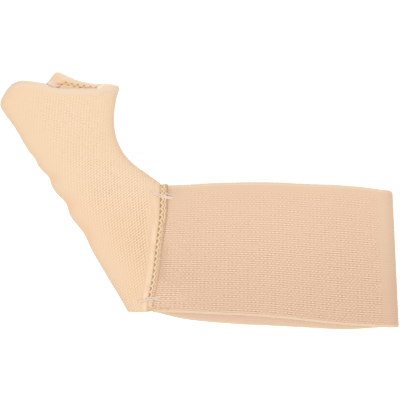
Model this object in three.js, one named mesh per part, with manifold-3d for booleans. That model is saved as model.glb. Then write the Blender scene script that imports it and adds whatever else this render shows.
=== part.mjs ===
// Thumb brace: a knitted thumb sleeve sewn to a loop of wide knitted elastic.
// Millimetres, +Z up. The brace lies flat on its back: the thumb leaves the sleeve's mouth along +Y,
// the loop runs along +X to its fold, and the hand goes through the loop along Y.
import * as THREE from "three";
import { mergeVertices } from "three/addons/utils/BufferGeometryUtils.js";
import Module from "manifold-3d";

const wasm = await Module();
wasm.setup();

// Driving dimensions
const KNIT_WALL = 1.2; // sleeve fabric
const HEM_WALL = 1.9; // sleeve fabric turned in once at the mouth
const ELASTIC_WALL = 1.5; // band of the loop
const SEWN_GAP = 0.3; // clearance between sewn pieces
const SEAM_WIDTH = 2.0; // overcast seam between sleeve and loop
const SEAM_THICKNESS = 1.9;
const SLEEVE_FOLD_HEIGHT = 3.2; // height of the sleeve's side folds above the table
const LOOP_FOLD_HEIGHT = 8.6; // outside of the loop where it folds at the far end
const FRONT_CROWN = 2.6; // roundness of the front panel, higher is flatter
const BACK_CROWN = 8; // the back panel lies nearly flat
const CUT_OVERLAP = 0.05; // the cuts along the two rims share this height
const FLAT_BELOW = 0.05; // a back panel this close to the table lies on it

// Counts of facets
const SLEEVE_STEPS = 38;
const PANEL_STEPS = 19;
const LOOP_STEPS = 16;
const FOLD_STEPS = 8;
const BAND_STEPS = 7;
const SEAM_STEPS = 20;

// Seam line of the last sleeve section: its top lies at the web of the thumb,
// and it runs on below the wrist edge, where the sleeve is trimmed.
const SEAM_TOP = { x: -13.2, y: 6.3 };
const SEAM_END = { x: -18.6, y: -48.0 };
const SEAM_HEIGHT = 9.0;
const WEB_INSET = 0.4; // the seam stops this far short of the web fold
const WRIST_EDGE = { leftX: -30, leftY: -37.3, rightX: -10, rightY: -36.9 };

// Sleeve sections from beyond the mouth to the seam: the two side folds and the outside height.
const SLEEVE_SECTIONS = [
  { leftX: -56.0, leftY: 47.0, rightX: -26.4, rightY: 45.0, height: 9.8, wall: HEM_WALL },
  { leftX: -57.6, leftY: 42.2, rightX: -26.5, rightY: 40.5, height: 9.8, wall: HEM_WALL },
  { leftX: -61.2, leftY: 40.3, rightX: -27.2, rightY: 37.0, height: 9.7, wall: HEM_WALL },
  { leftX: -65.0, leftY: 37.4, rightX: -27.9, rightY: 34.6, height: 9.6, wall: KNIT_WALL },
  { leftX: -66.9, leftY: 33.4, rightX: -28.2, rightY: 32.0, height: 9.5, wall: KNIT_WALL },
  { leftX: -65.8, leftY: 29.8, rightX: -28.3, rightY: 29.4, height: 9.4, wall: KNIT_WALL },
  { leftX: -62.2, leftY: 24.4, rightX: -28.3, rightY: 25.4, height: 9.4, wall: KNIT_WALL },
  { leftX: -57.7, leftY: 17.2, rightX: -27.6, rightY: 21.2, height: 9.4, wall: KNIT_WALL },
  { leftX: -52.9, leftY: 9.5, rightX: -26.1, rightY: 17.5, height: 9.4, wall: KNIT_WALL },
  { leftX: -47.9, leftY: 1.4, rightX: -23.8, rightY: 14.2, height: 9.4, wall: KNIT_WALL },
  { leftX: -42.6, leftY: -7.0, rightX: -20.9, rightY: 11.7, height: 9.3, wall: KNIT_WALL },
  { leftX: -37.2, leftY: -15.7, rightX: -18.2, rightY: 9.9, height: 9.2, wall: KNIT_WALL },
  { leftX: -31.2, leftY: -25.2, rightX: -16.0, rightY: 8.4, height: 9.1, wall: KNIT_WALL },
  { leftX: -24.8, leftY: -36.2, rightX: -14.4, rightY: 7.2, height: 9.0, wall: KNIT_WALL },
  {
    leftX: SEAM_END.x,
    leftY: SEAM_END.y,
    rightX: SEAM_TOP.x,
    rightY: SEAM_TOP.y,
    height: SEAM_HEIGHT,
    wall: KNIT_WALL,
  },
];

// Gathers that notch the straight side fold: where, how deep and how far each reaches along the fold.
const GATHERS = [
  { y: 14.2, depth: 0.5, reach: 1.7 },
  { y: 7.8, depth: 1.1, reach: 2.2 },
  { y: -0.1, depth: 1.45, reach: 3.0 },
  { y: -10.2, depth: 1.25, reach: 4.2 },
];
const GATHER_SINK = 0.55; // how far a gather's depth also sinks the front panel
const GATHER_SPREAD = 0.22; // share of the panel's width that it reaches across

// Rims of the mouth, left to right: the front one dips, the back one stands up to a corner.
const FRONT_RIM = [
  { x: -80, y: 40.5 },
  { x: -58.5, y: 40.4 },
  { x: -51.0, y: 39.2 },
  { x: -46.5, y: 37.8 },
  { x: -35.4, y: 37.4 },
  { x: -31.0, y: 38.8 },
  { x: -28.0, y: 38.7 },
  { x: -20, y: 37.7 },
];
const BACK_RIM = [
  { x: -80, y: 40.5 },
  { x: -58.5, y: 40.2 },
  { x: -51.5, y: 38.9 },
  { x: -49.6, y: 42.4 },
  { x: -48.0, y: 43.4 },
  { x: -46.5, y: 42.9 },
  { x: -43.6, y: 41.8 },
  { x: -35.0, y: 39.3 },
  { x: -31.0, y: 39.0 },
  { x: -28.0, y: 38.8 },
  { x: -20, y: 37.7 },
];

// The band's front layer from the seam to the fold: its two edges and its outside height.
// topDrop is how far the upper edge is held down where it meets the web of the thumb.
const FRONT_BAND = [
  { topX: -5.0, topY: 5.7, bottomX: -6.4, bottomY: -37.0, height: 9.3, topDrop: 1.4 },
  { topX: 2.8, topY: 6.2, bottomX: 2.0, bottomY: -37.4, height: 9.5, topDrop: 0.5 },
  { topX: 13.5, topY: 6.5, bottomX: 13.2, bottomY: -37.9, height: 9.6, topDrop: 0.2 },
  { topX: 24.2, topY: 6.5, bottomX: 24.4, bottomY: -38.6, height: 9.6, topDrop: 0.1 },
  { topX: 34.8, topY: 6.0, bottomX: 35.6, bottomY: -39.8, height: 9.5, topDrop: 0 },
  { topX: 45.5, topY: 5.6, bottomX: 46.6, bottomY: -41.0, height: 9.2, topDrop: 0 },
  { topX: 54.0, topY: 4.9, bottomX: 55.7, bottomY: -41.6, height: 8.8, topDrop: 0 },
  { topX: 59.8, topY: 4.1, bottomX: 61.9, bottomY: -41.9, height: LOOP_FOLD_HEIGHT, topDrop: 0 },
];
// The back layer from the fold to the seam, lying on the table and set lower than the front layer.
const BACK_BAND = [
  { topX: 59.8, topY: 3.3, bottomX: 61.9, bottomY: -42.1 },
  { topX: 48.0, topY: 2.4, bottomX: 48.8, bottomY: -42.9 },
  { topX: 37.0, topY: 2.7, bottomX: 37.4, bottomY: -42.4 },
  { topX: 24.2, topY: 3.2, bottomX: 24.2, bottomY: -41.7 },
  { topX: 13.5, topY: 3.6, bottomX: 13.0, bottomY: -41.2 },
  { topX: 2.8, topY: 4.1, bottomX: 1.8, bottomY: -40.3 },
  { topX: -4.8, topY: 4.6, bottomX: -6.6, bottomY: -39.2 },
];

const KNIT = new THREE.MeshStandardMaterial({ color: 0xf6d8b6, roughness: 0.85, metalness: 0 });
const ELASTIC = new THREE.MeshStandardMaterial({ color: 0xeac7aa, roughness: 0.8, metalness: 0 });
const THREAD = new THREE.MeshStandardMaterial({ color: 0xe8cda0, roughness: 0.7, metalness: 0 });

const clamp01 = (value) => Math.min(1, Math.max(0, value));
const ease = (value) => clamp01(value) ** 2 * (3 - 2 * clamp01(value));

// Height of a rounded profile from 0 at both ends (share 0 and 1) to 1 in the middle.
function crown(share, roundness) {
  return (1 - Math.abs(2 * share - 1) ** roundness) ** (1 / roundness);
}

// A smooth row at a place from 0 to 1 along a table, with every column interpolated.
function rowAlong(table, place) {
  const row = {};
  for (const column of Object.keys(table[0])) {
    const points = table.map((entry) => new THREE.Vector3(entry[column], 0, 0));
    row[column] = new THREE.CatmullRomCurve3(points, false, "catmullrom", 0.5).getPoint(place).x;
  }
  return row;
}

// A closed solid through rings of equally many points. Each ring runs along one side and back along
// the other, so the ends are closed by joining opposite points.
function loft(rings) {
  const count = rings[0].length;
  const positions = rings.flat().flatMap((point) => [point.x, point.y, point.z]);
  const triangles = [];
  for (let ring = 0; ring + 1 < rings.length; ring += 1) {
    for (let k = 0; k < count; k += 1) {
      const here = ring * count + k;
      const beside = ring * count + ((k + 1) % count);
      triangles.push(here, beside + count, beside, here, here + count, beside + count);
    }
  }
  const last = (rings.length - 1) * count;
  for (let k = 0; k + 1 < count - 1 - k; k += 1) {
    const [a, b, c, d] = [k, k + 1, count - 2 - k, count - 1 - k];
    triangles.push(a, b, c, a, c, d);
    triangles.push(last + a, last + c, last + b, last + a, last + d, last + c);
  }
  const geometry = new THREE.BufferGeometry();
  geometry.setAttribute("position", new THREE.Float32BufferAttribute(positions, 3));
  geometry.setIndex(triangles);
  return geometry;
}

function toSolid(geometry) {
  const bare = geometry.clone();
  bare.deleteAttribute("normal");
  bare.deleteAttribute("uv");
  const merged = mergeVertices(bare, 1e-4);
  return new wasm.Manifold(
    new wasm.Mesh({
      numProp: 3,
      vertProperties: merged.getAttribute("position").array,
      triVerts: new Uint32Array(merged.index.array),
    }),
  );
}

function toGeometry(solid) {
  const mesh = solid.getMesh();
  const geometry = new THREE.BufferGeometry();
  geometry.setAttribute("position", new THREE.Float32BufferAttribute(mesh.vertProperties, 3));
  geometry.setIndex([...mesh.triVerts]);
  geometry.computeVertexNormals();
  return geometry;
}

function piece(name, geometry, material) {
  geometry.computeVertexNormals();
  const mesh = new THREE.Mesh(geometry, material);
  mesh.name = name;
  return mesh;
}

// An upright prism over a plan outline, used to trim cloth.
function prism(outline, bottom, top) {
  const shape = new THREE.Shape(outline.map((point) => new THREE.Vector2(point.x, point.y)));
  const geometry = new THREE.ExtrudeGeometry(shape, { depth: top - bottom, bevelEnabled: false });
  return toSolid(geometry.translate(0, 0, bottom));
}

// How deep the gathers notch the side fold at a height y along it.
function gatherDepth(y) {
  return GATHERS.reduce(
    (sum, gather) => sum + gather.depth * Math.exp(-(((y - gather.y) / gather.reach) ** 2)),
    0,
  );
}

// Height of the sleeve's front or back surface at a share of the way from its left to its right fold.
// inset is 0 on the outside and the wall thickness on the inside.
function frontHeight(height, inset, share) {
  return SLEEVE_FOLD_HEIGHT + (height - inset - SLEEVE_FOLD_HEIGHT) * crown(share, FRONT_CROWN);
}
function backHeight(inset, share) {
  const lift = (SLEEVE_FOLD_HEIGHT - inset) * (1 - crown(share, BACK_CROWN));
  return inset + (lift < FLAT_BELOW ? 0 : lift);
}

// One ring of the sleeve, outside or inside: along the front from left to right and back underneath.
function sleeveRing(section, inside) {
  const inset = inside ? section.wall : 0;
  const depth = gatherDepth(section.leftY);
  const left = new THREE.Vector2(section.leftX + depth, section.leftY);
  const right = new THREE.Vector2(section.rightX, section.rightY);
  const across = right.clone().sub(left).normalize().multiplyScalar(inset);
  left.add(across);
  right.sub(across);
  const front = [];
  const back = [];
  for (let k = 0; k <= PANEL_STEPS; k += 1) {
    const share = (1 - Math.cos((Math.PI * (k + 0.5)) / (PANEL_STEPS + 1))) / 2;
    const plan = left.clone().lerp(right, share);
    const sink = GATHER_SINK * depth * ease(share / 0.03) * (1 - ease(share / GATHER_SPREAD));
    front.push(new THREE.Vector3(plan.x, plan.y, frontHeight(section.height, inset, share) - sink));
    back.push(new THREE.Vector3(plan.x, plan.y, backHeight(inset, share)));
  }
  return [...front, ...back.reverse()];
}

// The sleeve's outside, or its hollow, which runs on past both ends so that they are open.
function sleeveLoft(inside) {
  const rings = [];
  for (let step = 0; step <= SLEEVE_STEPS; step += 1) {
    rings.push(sleeveRing(rowAlong(SLEEVE_SECTIONS, step / SLEEVE_STEPS), inside));
  }
  if (inside) {
    const moved = (ring, x, y) => ring.map((point) => new THREE.Vector3(point.x + x, point.y + y, point.z));
    rings.unshift(moved(rings[0], 0, 2));
    rings.push(moved(rings.at(-1), 2, 0));
  }
  return toSolid(loft(rings));
}

function thumbSleeve() {
  const farUp = 60;
  const aboveRim = (rim) => [...rim, { x: rim.at(-1).x, y: farUp }, { x: rim[0].x, y: farUp }];
  const below = -70;
  const wrist = [
    { x: WRIST_EDGE.leftX, y: below },
    { x: WRIST_EDGE.rightX, y: below },
    { x: WRIST_EDGE.rightX, y: WRIST_EDGE.rightY },
    { x: WRIST_EDGE.leftX, y: WRIST_EDGE.leftY },
  ];
  const tube = sleeveLoft(false).subtract(sleeveLoft(true));
  const trimmed = tube
    .subtract(prism(aboveRim(FRONT_RIM), SLEEVE_FOLD_HEIGHT, 30))
    .subtract(prism(aboveRim(BACK_RIM), -10, SLEEVE_FOLD_HEIGHT + CUT_OVERLAP))
    .subtract(prism(wrist, -10, 30));
  return piece("thumb_sleeve", toGeometry(trimmed), KNIT);
}

// A point of the seam line at a distance down from its top, and its share across the sleeve's section.
const SEAM_LENGTH = Math.hypot(SEAM_END.x - SEAM_TOP.x, SEAM_END.y - SEAM_TOP.y);
function seamPoint(down) {
  const share = 1 - down / SEAM_LENGTH;
  return {
    x: THREE.MathUtils.lerp(SEAM_END.x, SEAM_TOP.x, share),
    y: THREE.MathUtils.lerp(SEAM_END.y, SEAM_TOP.y, share),
    share,
  };
}
const SEAM_FOOT = (SEAM_TOP.y - WRIST_EDGE.rightY) * (SEAM_LENGTH / (SEAM_TOP.y - SEAM_END.y));

// A bead of overcast stitches with round shoulders, beside the sleeve's edge on the front or the back.
function seam(name, onFront) {
  const rings = [];
  const half = SEAM_WIDTH / 2;
  for (let step = 0; step <= SEAM_STEPS; step += 1) {
    const at = seamPoint(THREE.MathUtils.lerp(WEB_INSET, SEAM_FOOT, step / SEAM_STEPS));
    const middle = at.x + SEWN_GAP + half;
    const low = onFront
      ? frontHeight(SEAM_HEIGHT, KNIT_WALL, at.share) - (SEAM_THICKNESS - KNIT_WALL) / 2
      : 0;
    const profile = [
      { x: -half, z: 0.35 },
      { x: -half, z: 0.65 },
      { x: -half / 2, z: 1 },
      { x: half / 2, z: 1 },
      { x: half, z: 0.65 },
      { x: half, z: 0.35 },
      { x: half / 2, z: 0 },
      { x: -half / 2, z: 0 },
    ];
    rings.push(
      profile.map((p) => new THREE.Vector3(middle + p.x, at.y, low + p.z * SEAM_THICKNESS)),
    );
  }
  return piece(name, loft(rings), THREAD);
}

// The row of the band where it starts beside the seam.
function bandAtSeam(columns) {
  const top = seamPoint(2 * WEB_INSET);
  const bottom = seamPoint(SEAM_FOOT);
  const offset = 2 * SEWN_GAP + SEAM_WIDTH;
  return {
    topX: top.x + offset,
    topY: top.y,
    bottomX: bottom.x + offset,
    bottomY: bottom.y,
    ...columns,
  };
}

// Places across the band at one row, from its lower to its upper edge, on the outside.
function bandLine(row) {
  const line = [];
  for (let k = 0; k <= BAND_STEPS; k += 1) {
    const share = Math.sin((Math.PI / 2) * (k / BAND_STEPS));
    const nearTop = 0.5 + share / 2;
    line.push(
      new THREE.Vector3(
        THREE.MathUtils.lerp(row.bottomX, row.topX, share),
        THREE.MathUtils.lerp(row.bottomY, row.topY, share),
        row.height - row.topDrop * (1 - crown(Math.min(nearTop, 0.985), FRONT_CROWN)),
      ),
    );
  }
  return line;
}

// The whole band as a folded strip: front layer, fold and back layer, with its thickness turned inwards.
function handLoop() {
  const seamDrop = SEAM_HEIGHT - SLEEVE_FOLD_HEIGHT;
  const front = [bandAtSeam({ height: SEAM_HEIGHT, topDrop: seamDrop }), ...FRONT_BAND];
  const back = [...BACK_BAND, bandAtSeam({})].map((row) => ({ ...row, height: 0, topDrop: 0 }));
  const lines = [];
  const inwards = [];
  const down = new THREE.Vector3(0, 0, -1);
  for (let step = 0; step <= LOOP_STEPS; step += 1) {
    lines.push(bandLine(rowAlong(front, step / LOOP_STEPS)));
    inwards.push(down);
  }
  const radius = LOOP_FOLD_HEIGHT / 2;
  for (let step = 1; step < FOLD_STEPS; step += 1) {
    const turn = (Math.PI * step) / FOLD_STEPS;
    const row = {};
    for (const column of ["topX", "topY", "bottomX", "bottomY"]) {
      row[column] = THREE.MathUtils.lerp(front.at(-1)[column], back[0][column], step / FOLD_STEPS);
    }
    row.topX += radius * Math.sin(turn);
    row.bottomX += radius * Math.sin(turn);
    lines.push(bandLine({ ...row, height: radius * (1 + Math.cos(turn)), topDrop: 0 }));
    inwards.push(new THREE.Vector3(-Math.sin(turn), 0, -Math.cos(turn)));
  }
  for (let step = 0; step <= LOOP_STEPS; step += 1) {
    lines.push(bandLine(rowAlong(back, step / LOOP_STEPS)));
    inwards.push(down.clone().negate());
  }
  const rings = lines.map((line, k) => {
    const inner = line.map((point) => point.clone().addScaledVector(inwards[k], ELASTIC_WALL));
    return [...line, ...inner.reverse()];
  });
  return piece("hand_loop", loft(rings), ELASTIC);
}

const brace = new THREE.Group();
brace.name = "thumb_brace";
brace.add(thumbSleeve(), seam("front_seam", true), seam("back_seam", false), handLoop());

// The origin is the middle of the footprint on the table.
const box = new THREE.Box3().setFromObject(brace);
const middle = box.getCenter(new THREE.Vector3());
brace.position.set(-middle.x, -middle.y, -box.min.z);

export default brace;
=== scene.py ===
# %% [markdown]
# # A knitted thumb brace, lying flat
# The brace is a knitted sleeve for the thumb, sewn to a loop of wide knitted elastic for the hand.
# The solid model gives every piece its place, so the first step loads it as a fixed frame.
# Each later cell dresses one piece in cloth or thread at the same place.

import bpy
import numpy as np
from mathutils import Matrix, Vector
from mathutils.bvhtree import BVHTree


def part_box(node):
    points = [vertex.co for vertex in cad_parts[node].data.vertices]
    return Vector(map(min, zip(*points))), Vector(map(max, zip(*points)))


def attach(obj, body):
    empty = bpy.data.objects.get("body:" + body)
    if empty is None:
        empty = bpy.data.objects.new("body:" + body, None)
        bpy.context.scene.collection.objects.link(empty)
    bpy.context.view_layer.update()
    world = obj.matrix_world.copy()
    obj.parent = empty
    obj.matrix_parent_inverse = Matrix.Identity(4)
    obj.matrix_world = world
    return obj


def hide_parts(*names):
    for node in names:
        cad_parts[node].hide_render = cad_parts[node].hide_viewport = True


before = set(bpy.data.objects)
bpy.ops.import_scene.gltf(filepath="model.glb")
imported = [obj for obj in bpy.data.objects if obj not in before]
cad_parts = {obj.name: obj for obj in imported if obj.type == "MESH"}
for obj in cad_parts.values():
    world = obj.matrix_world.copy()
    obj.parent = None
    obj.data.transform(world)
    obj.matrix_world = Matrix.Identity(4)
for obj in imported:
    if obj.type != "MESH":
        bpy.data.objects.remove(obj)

bpy.ops.object.select_all(action="DESELECT")
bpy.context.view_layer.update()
MM = 0.001

# %% [markdown]
# # Where the tables count from
# Plan sizes below are in millimetres, as a pattern cutter would note them.
# The seam between sleeve and loop is the line that everything is measured from.
# The frame's origin lies in the middle of the footprint, so a small shift joins the two.

# %% Seam line and shift
SEAM_TOP = np.array([-13.2, 6.3])
SEAM_END = np.array([-18.6, -48.0])
SEAM_HEIGHT = 9.0
SEAM_LENGTH = float(np.linalg.norm(SEAM_END - SEAM_TOP))
WEB_INSET = 0.4
FOLD_EDGE_X = 66.2


def seam_plan(down):
    """Plan points of the seam line at distances down from its top."""
    share = np.asarray(down, float)[..., None] / SEAM_LENGTH
    return SEAM_TOP + (SEAM_END - SEAM_TOP) * share


shift = np.array(
    [
        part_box("hand_loop")[1].x / MM - FOLD_EDGE_X,
        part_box("front_seam")[1].y / MM - seam_plan(WEB_INSET)[1],
        0.0,
    ]
)
print("shift in mm", shift.round(3))


def placed(points):
    """Points of the tables, in millimetres, as metres in the frame."""
    return (np.asarray(points, float) + shift) * MM


# %% [markdown]
# # Camera, light and floor
# The brace was photographed from straight above with a long lens, on a bright white ground.
# A lamp above the camera fills the hollows, an even white sky softens it, and white stays white.
# The ground glows a little, as a lit table does, so that the sides of the cloth stay bright.
# The camera stands high above the brace, so that its sides are hardly seen.

# %% Camera
CAMERA_HEIGHT = 0.95
VIEW_WIDTH = 400 / 3 * MM
VIEW_CENTRE = (0.15 * MM, 0.15 * MM)
SHARP_HEIGHT = 0.0045
SENSOR = 36.0

bpy.ops.object.camera_add(location=(*VIEW_CENTRE, CAMERA_HEIGHT), rotation=(0, 0, 0))
camera = bpy.context.object
camera.name = "camera"
camera.data.sensor_width = SENSOR
camera.data.lens = SENSOR * (CAMERA_HEIGHT - SHARP_HEIGHT) / VIEW_WIDTH
camera.data.clip_end = 10
bpy.context.scene.camera = camera
print("lens", round(camera.data.lens, 1))

# %% Light and floor
SKY_STRENGTH = 0.66
LAMP_POWER = 10.0
LAMP_SIZE = 0.16
LAMP_PLACE = (-0.03, -0.02, 1.2)
FLOOR_GLOW = 0.25

sky = bpy.data.worlds.new("studio")
sky.use_nodes = True
sky.node_tree.nodes["Background"].inputs["Color"].default_value = (1, 1, 1, 1)
sky.node_tree.nodes["Background"].inputs["Strength"].default_value = SKY_STRENGTH
bpy.context.scene.world = sky
bpy.context.scene.view_settings.view_transform = "Standard"

bpy.ops.object.light_add(type="AREA", location=LAMP_PLACE)
lamp = bpy.context.object
lamp.name = "soft_lamp"
lamp.data.energy = LAMP_POWER
lamp.data.size = LAMP_SIZE
lamp.rotation_euler = (-Vector(LAMP_PLACE)).to_track_quat("-Z", "Y").to_euler()

bpy.ops.mesh.primitive_plane_add(size=4, location=(0, 0, 0))
floor = bpy.context.object
floor.name = "floor"
floor_white = bpy.data.materials.new("floor_white")
floor_white.use_nodes = True
floor_shader = floor_white.node_tree.nodes["Principled BSDF"]
floor_shader.inputs["Base Color"].default_value = (0.93, 0.93, 0.93, 1)
floor_shader.inputs["Roughness"].default_value = 0.9
floor_shader.inputs["Specular IOR Level"].default_value = 0.0
floor_shader.inputs["Emission Color"].default_value = (1, 1, 1, 1)
floor_shader.inputs["Emission Strength"].default_value = FLOOR_GLOW
floor.data.materials.append(floor_white)
bpy.ops.object.select_all(action="DESELECT")
print("floor and lamp ready")

# %% [markdown]
# # Writing finishes as sums
# A knit is a repeating wave, so its finish is easiest to write as a formula.
# A small class holds one socket and turns Python's signs into Math nodes.
# A second class holds the material and adds every other kind of node by one method.

# %% A value that stands in a sum


class Wire:
    """A value in a material that can stand in a Python sum."""

    def __init__(self, finish, socket):
        self.finish = finish
        self.socket = socket

    def math(self, operation, *others):
        inputs = dict(enumerate((self, *others)))
        return self.finish.node("ShaderNodeMath", {"operation": operation}, inputs)

    def __add__(self, other):
        return self.math("ADD", other)

    def __mul__(self, other):
        return self.math("MULTIPLY", other)

    def __sub__(self, other):
        return self.math("SUBTRACT", other)

    def __rsub__(self, other):
        return self.finish.node("ShaderNodeMath", {"operation": "SUBTRACT"}, {0: other, 1: self})

    __radd__ = __add__
    __rmul__ = __mul__

    def wave(self):
        """Cosine of a count of turns."""
        return (self * (2 * np.pi)).math("COSINE")

    def ramp(self, low, high):
        """A smooth step from 0 at low to 1 at high."""
        settings = {"interpolation_type": "SMOOTHSTEP"}
        inputs = {"Value": self, "From Min": low, "From Max": high}
        return self.finish.node("ShaderNodeMapRange", settings, inputs)

    def fade(self, low, high):
        """A smooth step from 1 at low to 0 at high."""
        return 1 - self.ramp(low, high)

    def hump(self, start, full, end, gone):
        """Rises from 0 at the start to full, and falls from the end until it is gone."""
        return self.ramp(start, full) * self.fade(end, gone)


# %% A material round one shader
MAP_MM = 100.0


class Finish:
    """A material built round one Principled shader."""

    def __init__(self, name, **constants):
        self.material = bpy.data.materials.new(name)
        self.material.use_nodes = True
        self.tree = self.material.node_tree
        self.shader = self.tree.nodes["Principled BSDF"]
        for socket, value in constants.items():
            self.shader.inputs[socket.replace("_", " ")].default_value = value

    def node(self, kind, settings=None, inputs=None, output=0):
        """Adds a node: its settings first, then values or wires for its sockets."""
        node = self.tree.nodes.new(kind)
        for key, value in (settings or {}).items():
            setattr(node, key, value)
        for key, value in (inputs or {}).items():
            self.join(value, node.inputs[key])
        return Wire(self, node.outputs[output])

    def join(self, value, socket):
        if isinstance(value, Wire):
            self.tree.links.new(value.socket, socket)
        else:
            socket.default_value = value

    def mix(self, share, first, second):
        """A colour between two colours."""
        settings = {"data_type": "RGBA", "clamp_factor": True}
        inputs = {0: share, 6: first, 7: second}
        return self.node("ShaderNodeMix", settings, inputs, 2)

    def mark(self, name):
        """A named number that the mesh carries at its points."""
        return self.node("ShaderNodeAttribute", {"attribute_name": name}, output=2)

    def cloth_place(self):
        """The two coordinates of the cloth's own map, in millimetres."""
        place = self.node("ShaderNodeUVMap", {"uv_map": "weave"})
        across = self.node("ShaderNodeSeparateXYZ", None, {0: place}, 0)
        along = self.node("ShaderNodeSeparateXYZ", None, {0: place}, 1)
        return across * MAP_MM, along * MAP_MM

    def noise(self, scale, detail=2.0, stretch=(1, 1, 1)):
        """Soft random values over the object, about 0.5 on average."""
        place = self.node("ShaderNodeTexCoord", output=3)
        pulled = self.node("ShaderNodeVectorMath", {"operation": "MULTIPLY"}, {0: place, 1: stretch})
        return self.node("ShaderNodeTexNoise", None, {"Vector": pulled, "Scale": scale, "Detail": detail})

    def speckle(self, scale):
        """Soft random values about 0, which make a pattern uneven."""
        return self.noise(scale, 1.0) - 0.5

    def colour(self, wire):
        self.join(wire, self.shader.inputs["Base Color"])

    def relief(self, height, depth):
        """Bumps the surface by a height of 0 to 1 that stands for a depth in metres."""
        bump = self.node("ShaderNodeBump", None, {"Height": height, "Distance": depth, "Strength": 1.0})
        self.join(bump, self.shader.inputs["Normal"])


# %% Dyes
LIGHT_LEVEL = 1.34


def dye(red, green, blue):
    """A cloth colour from the 0 to 255 values it shows, allowing for the strength of the light."""
    display = np.array([red, green, blue]) / 255
    linear = np.where(display <= 0.04045, display / 12.92, ((display + 0.055) / 1.055) ** 2.4)
    return (*(linear / LIGHT_LEVEL), 1.0)


print("white cloth", np.round(dye(255, 255, 255), 3))


# %% [markdown]
# # Knit of the sleeve
# The sleeve is a fine knit: its wales stand upright, and faint rows of loops cross them on both slants.
# Towards the seam the knit opens, and slanting rows of loops show more than the wales do.
# It could be an image, but a sum of waves on the cloth's own map follows the cloth round its folds.
# The turns are counted in a millimetre of cloth, across it and up it.

# %% Waves of the knit
WALE_TURNS = 1.045
COURSE_TURNS = (0.29, 1.05)
COUNTER_TURNS = (0.75, 1.2)
CROSSING_TURNS = (0.31, 1.14)
KNIT_CLOSES = (-2.0, 26.0)
CLOTH_SURFACE = {"Specular_IOR_Level": 0.2, "Sheen_Roughness": 0.5}

knit = Finish("peach_knit", Roughness=0.9, Sheen_Weight=0.12, **CLOTH_SURFACE)
across, up = knit.cloth_place()
wale = across * WALE_TURNS
course = across * COURSE_TURNS[0] + up * COURSE_TURNS[1]
opened = up.fade(*KNIT_CLOSES)
ripple = knit.speckle(450.0)
slanted = (wale - course).wave() * (opened * 0.84 + 0.16 + ripple * (opened + 0.8))
counter = (across * COUNTER_TURNS[0] + up * COUNTER_TURNS[1]).wave()
counter = counter * (opened * 0.5 + 0.08 + ripple * 0.9)
rising = (across * CROSSING_TURNS[0] + up * CROSSING_TURNS[1]).wave()
falling = (across * CROSSING_TURNS[0] - up * CROSSING_TURNS[1]).wave()
crossing = rising * (ripple * 1.3 + 0.13) + falling * (knit.speckle(380.0) * 1.3 + 0.13)
shimmer = (wale + course).wave() * knit.speckle(800.0) * 3.4
fuzz = knit.speckle(950.0) * 0.5 + knit.speckle(2100.0) * 1.6
rows_of_loops = wale.wave() * (opened * 0.34 + 0.42) + slanted + counter
rows_of_loops = rows_of_loops + crossing + shimmer + fuzz
print("knit waves", len(knit.tree.nodes), "nodes")

# %% Where the knit is plain
HEM_HEIGHT = 2.3
PRESSED_WIDTH = 2.3
PRESSED_WIDENS = (-22.0, -4.0)
NEAR_WRIST = (-34.0, -22.0)
KNIT_CONTRAST = 0.19

rim_distance = knit.mark("rim_distance")
plain_hem = rim_distance.fade(HEM_HEIGHT * 0.5, HEM_HEIGHT * 1.2)
seam_side = knit.mark("seam_distance")
wide_part = up.ramp(*PRESSED_WIDENS) * 1.3
pressed = (seam_side - wide_part).fade(PRESSED_WIDTH * 0.4, PRESSED_WIDTH * 1.5)
plain = plain_hem.math("MAXIMUM", pressed)
patchy = knit.noise(160.0, 3.0).ramp(0.3, 0.7)
share = knit.mark("share")
near_wrist = up.fade(*NEAR_WRIST)
clear = (share.ramp(0.05, 0.6) * 0.85 + 0.25 + near_wrist * 0.3) * (1 - share.ramp(0.75, 1.0) * 0.4)
clear = clear * (patchy * 0.4 + 0.8) * (1 - plain * 0.75)
loops = rows_of_loops * clear * KNIT_CONTRAST + 0.5
print("plain at the hem", HEM_HEIGHT, "mm and beside the seam", PRESSED_WIDTH, "mm")

# %% Knit colours
PALER_ABOVE = (-14.0, 10.0)

# Random tone, plus painted shade: the sleeve is painted darker and warmer towards its lower part, more so
# away from the left fold.
from_fold = share.ramp(0.05, 0.5) * 0.6 + 0.4
tone_and_painted_light = knit.noise(26.0).ramp(0.35, 0.65) * 0.25 + up.fade(*PALER_ABOVE) * from_fold * 0.75
crest = knit.mix(tone_and_painted_light, dye(267, 243, 215), dye(263, 231, 198))
gap = knit.mix(tone_and_painted_light, dye(222, 184, 142), dye(217, 174, 130))
cloth = knit.mix(loops, gap, crest)
cloth = knit.mix(plain_hem * 0.9, cloth, dye(243, 217, 190))
# Painted highlight: the rounded rims of the mouth are painted paler to cancel the shade on their sideways
# faces, more on the back rim than on the front.
painted_rim_highlight = rim_distance.fade(-0.5, 0.6)
cloth = knit.mix(painted_rim_highlight * knit.mark("rim_highlight_strength"), cloth, dye(272, 253, 232))
print("knit colours", len(knit.tree.nodes), "nodes")

# %% Knit beside the seam
CREASE_DISTANCE = 1.05
CREASE_CLOSES = (-10.0, -3.0)

streaks = knit.noise(900.0, 1.0, (1.0, 0.15, 1.0)).ramp(0.35, 0.65)
cloth = knit.mix(pressed * 0.6, cloth, knit.mix(streaks, dye(239, 205, 169), dye(248, 216, 182)))
broken = (knit.noise(420.0, 1.0).ramp(0.4, 0.6) * 0.7 + 0.3) * up.fade(*CREASE_CLOSES)
# Painted highlight on the pressed ridge beside the seam, broken by noise.
crease_highlight = seam_side.hump(0.0, CREASE_DISTANCE, CREASE_DISTANCE, 2 * CREASE_DISTANCE)
cloth = knit.mix(crease_highlight * broken * 0.55, cloth, dye(253, 231, 204))
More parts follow.
